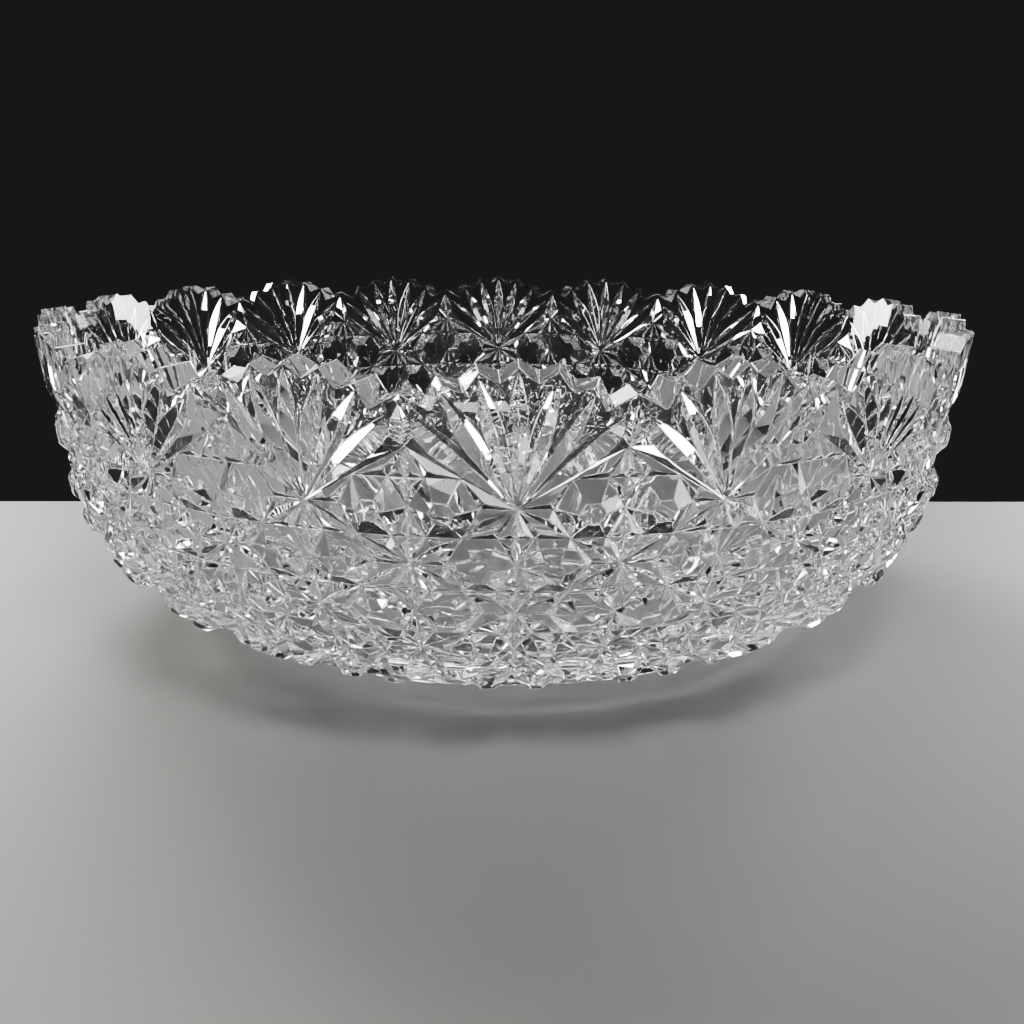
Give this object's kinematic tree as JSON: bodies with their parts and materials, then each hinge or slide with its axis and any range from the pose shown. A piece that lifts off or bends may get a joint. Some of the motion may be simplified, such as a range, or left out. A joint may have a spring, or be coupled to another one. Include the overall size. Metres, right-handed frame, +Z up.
{
  "type": "pressed glass bowl",
  "caption": "Round open bowl in one piece of clear pressed glass, with a toothed scalloped rim, moulded fans and a faceted lattice outside, and a flat ring foot.",
  "frame": {"origin": "centre of the resting face under the foot, on the surface that the bowl stands on", "axes": "+Z up along the bowl's axis, out of its mouth; the middle of one fan faces -Y and another faces +Y"},
  "size_m": [0.1792, 0.18, 0.0615],
  "materials": {
    "clear_glass": "fire-polished clear soda-lime glass, smooth inside, sharp moulded facets with softened edges outside"
  },
  "bodies": {
    "root": {"bowl": "clear_glass"}
  },
  "joints": []
}
